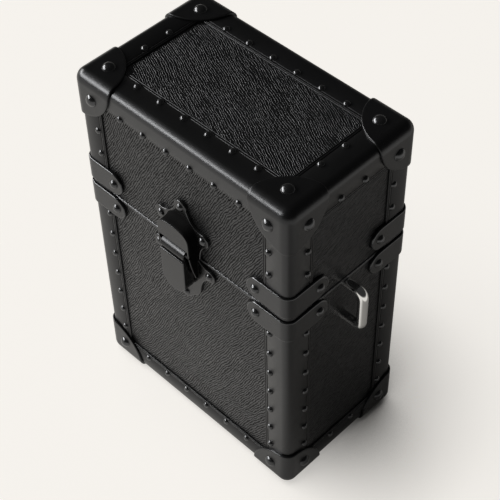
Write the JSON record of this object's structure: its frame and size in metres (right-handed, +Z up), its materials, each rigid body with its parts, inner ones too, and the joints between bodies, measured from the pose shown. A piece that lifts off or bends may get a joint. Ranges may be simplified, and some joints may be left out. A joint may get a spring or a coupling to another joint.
{
  "type": "jewellery trunk",
  "caption": "Upright leather-covered jewellery trunk with nailed edge strips, riveted corner caps and bands, a front clasp, side handles, a hinged lid and lift-out trays.",
  "frame": {"origin": "middle of the bounding box on the surface that the trunk stands on", "axes": "+Z up, the clasp faces -Y, the hinge is at +Y, the handles are at -X and +X"},
  "size_m": [0.2388, 0.1386, 0.3113],
  "materials": {
    "grained_leather": "black grained leather, half matte",
    "smooth_leather": "smooth black leather, half matte, with domed nails in the same black",
    "black_metal": "black enamel, half gloss",
    "chrome": "polished",
    "board": "plain board",
    "suede": "matte suede cloth",
    "velvet": "soft velvet",
    "mirror": "silvered glass"
  },
  "bodies": {
    "base": {"base_shell": "board", "base_cover": "grained_leather", "base_lining": "suede", "base_strip_front_left": "smooth_leather", "base_strip_front_right": "smooth_leather", "base_strip_back_right": "smooth_leather", "base_strip_back_left": "smooth_leather", "base_rim_strip_front": "smooth_leather", "base_rim_strip_right": "smooth_leather", "base_rim_strip_back": "smooth_leather", "base_rim_strip_left": "smooth_leather", "base_cap_front_left": "smooth_leather", "base_cap_front_right": "smooth_leather", "base_cap_back_right": "smooth_leather", "base_cap_back_left": "smooth_leather", "base_band_front_left": "smooth_leather", "base_band_front_right": "smooth_leather", "base_band_back_right": "smooth_leather", "base_band_back_left": "smooth_leather", "clasp_lower_plate": "black_metal", "clasp_keeper": "black_metal", "handle_left": "chrome", "handle_right": "chrome", "hinge_leaf_base": "black_metal", "hinge_pin": "black_metal", "tray_ledge_left": "board", "tray_ledge_right": "board", "well_pad": "velvet"},
    "lid": {"lid_shell": "board", "lid_cover": "grained_leather", "lid_lining": "suede", "lid_strip_front_left": "smooth_leather", "lid_strip_front_right": "smooth_leather", "lid_strip_back_right": "smooth_leather", "lid_strip_back_left": "smooth_leather", "lid_rim_strip_front": "smooth_leather", "lid_rim_strip_right": "smooth_leather", "lid_rim_strip_back": "smooth_leather", "lid_rim_strip_left": "smooth_leather", "lid_cap_front_left": "smooth_leather", "lid_cap_front_right": "smooth_leather", "lid_cap_back_right": "smooth_leather", "lid_cap_back_left": "smooth_leather", "lid_band_front_left": "smooth_leather", "lid_band_front_right": "smooth_leather", "lid_band_back_right": "smooth_leather", "lid_band_back_left": "smooth_leather", "clasp_upper_plate": "black_metal", "clasp_pin": "black_metal", "hinge_leaf_lid": "black_metal", "mirror": "mirror", "mirror_frame": "black_metal"},
    "flap": {"clasp_flap": "black_metal", "flap_spring": "black_metal"},
    "lower_tray": {"lower_tray": "suede"},
    "upper_tray": {"upper_tray": "suede", "upper_tray_tab_left": "smooth_leather", "upper_tray_tab_right": "smooth_leather", "ring_cushion": "velvet"}
  },
  "joints": [
    {"name": "lid_hinge", "type": "hinge", "parent": "base", "child": "lid", "pos_m": [0, 0.06585, 0.2025], "axis": [-1, 0, 0], "range_deg": [0, 95]},
    {"name": "clasp_flap_swing", "type": "hinge", "parent": "lid", "child": "flap", "pos_m": [0, -0.0651, 0.2094], "axis": [-1, 0, 0], "range_deg": [0, 120]},
    {"name": "lower_tray_lift", "type": "slide", "parent": "base", "child": "lower_tray", "axis": [0, 0, 1], "range_m": [0, 0.042]},
    {"name": "upper_tray_lift", "type": "slide", "parent": "lower_tray", "child": "upper_tray", "axis": [0, 0, 1], "range_m": [0, 0.046]}
  ]
}
